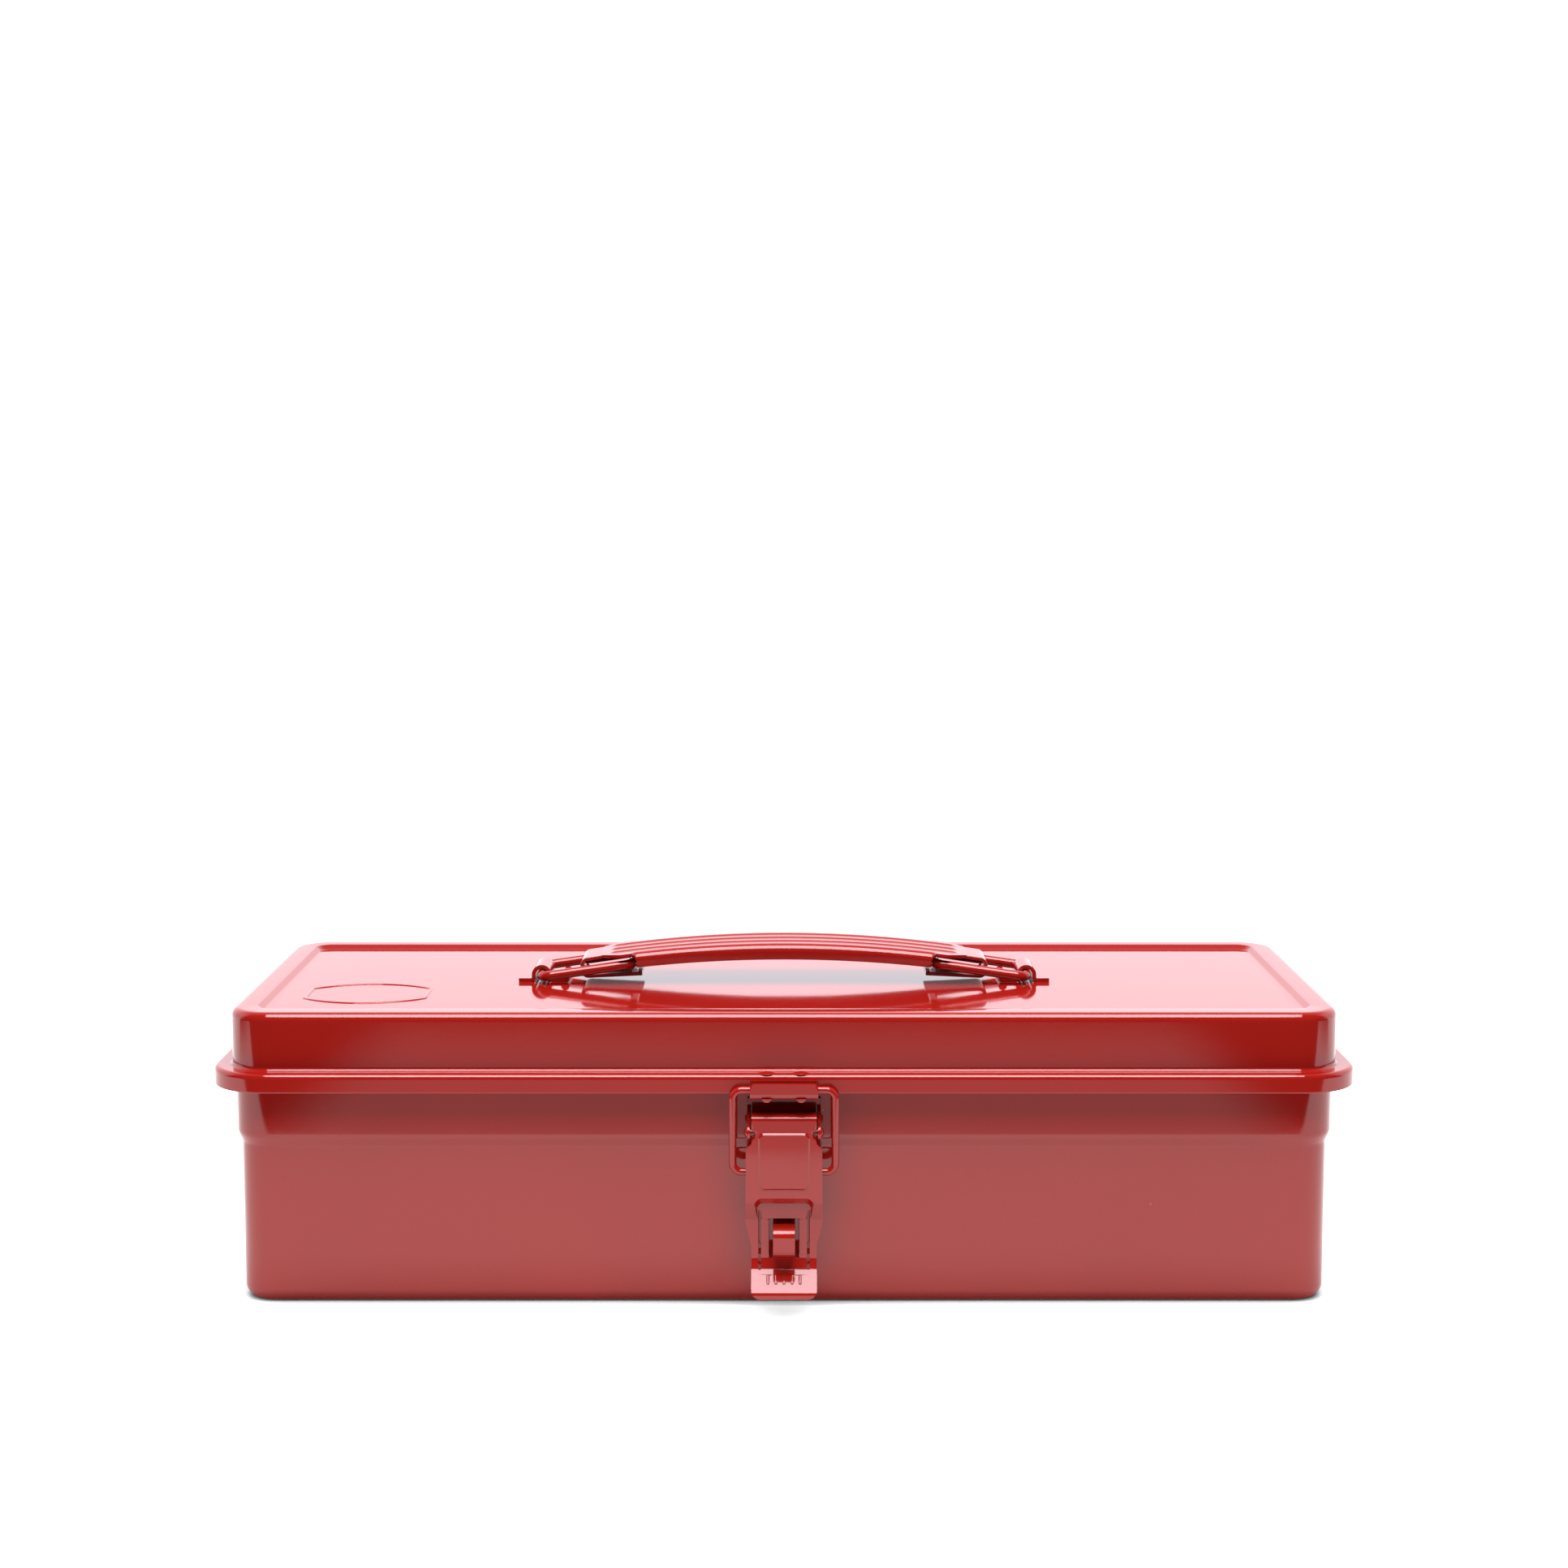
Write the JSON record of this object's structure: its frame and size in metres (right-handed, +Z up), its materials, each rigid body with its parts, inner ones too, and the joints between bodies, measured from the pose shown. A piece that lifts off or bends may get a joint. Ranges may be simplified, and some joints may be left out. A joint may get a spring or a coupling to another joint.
{
  "type": "metal hand box",
  "caption": "Painted pressed-steel hand box with an overhanging hinged lid, front draw latch with padlock staple, and a flat-folding arched handle on wire rings.",
  "frame": {"origin": "centre of the tub's flat bottom face", "axes": "+X to the right seen from the latch side, +Y to the hinges at the back, +Z up"},
  "size_m": [0.3326, 0.1433, 0.0981],
  "materials": {
    "enamel_body": "glossy red enamel on smooth sheet steel",
    "enamel_fittings": "glossy red enamel, thin at the bent edges",
    "enamel_wire": "glossy red enamel on round wire, rubbed where it slides",
    "enamel_grip": "glossy red enamel, softly polished by the hand"
  },
  "bodies": {
    "tub": {"body_shell": "enamel_body", "latch_base_plate": "enamel_fittings", "padlock_staple": "enamel_fittings", "latch_base_rivets": "enamel_fittings", "lever_pivot_pin": "enamel_fittings", "hinge_body_leaf_left": "enamel_fittings", "hinge_body_leaf_right": "enamel_fittings", "hinge_pin_left": "enamel_fittings", "hinge_pin_right": "enamel_fittings"},
    "lid": {"lid_shell": "enamel_body", "keeper_hook": "enamel_fittings", "hinge_lid_leaf_left": "enamel_fittings", "hinge_lid_leaf_right": "enamel_fittings", "handle_bracket_left": "enamel_fittings", "handle_bracket_right": "enamel_fittings"},
    "lever": {"latch_lever": "enamel_fittings"},
    "bail": {"latch_bail": "enamel_wire"},
    "ring_left": {"handle_ring_left": "enamel_wire"},
    "ring_right": {"handle_ring_right": "enamel_wire"},
    "grip": {"handle_grip": "enamel_grip"}
  },
  "joints": [
    {"name": "lid_open", "type": "hinge", "parent": "tub", "child": "lid", "pos_m": [0, 0.06695, 0.0622], "axis": [-1, 0, 0], "range_deg": [0, 110]},
    {"name": "lever_open", "type": "hinge", "parent": "tub", "child": "lever", "pos_m": [0, -0.0666, 0.05305], "axis": [-1, 0, 0], "range_deg": [0, 105]},
    {"name": "bail_swing", "type": "hinge", "parent": "lever", "child": "bail", "pos_m": [0, -0.0661, 0.0414], "axis": [1, 0, 0], "range_deg": [0, 63.1]},
    {"name": "handle_lift", "type": "slide", "parent": "lid", "child": "grip", "axis": [0, 0, 1], "range_m": [0, 0.0182]},
    {"name": "ring_left_swing", "type": "hinge", "parent": "lid", "child": "ring_left", "pos_m": [-0.0745, 0, 0.0872], "axis": [0, -1, 0], "range_deg": [0, 39.1]},
    {"name": "ring_right_swing", "type": "hinge", "parent": "lid", "child": "ring_right", "pos_m": [0.0745, 0, 0.0872], "axis": [0, 1, 0], "range_deg": [0, 39.1]}
  ],
  "couplings": [
    {"joint": "bail_swing", "follows": "lever_open", "ratio": 0.6},
    {"joint": "ring_left_swing", "follows": "handle_lift", "rad_per_m": 37.4},
    {"joint": "ring_right_swing", "follows": "handle_lift", "rad_per_m": 37.4}
  ]
}
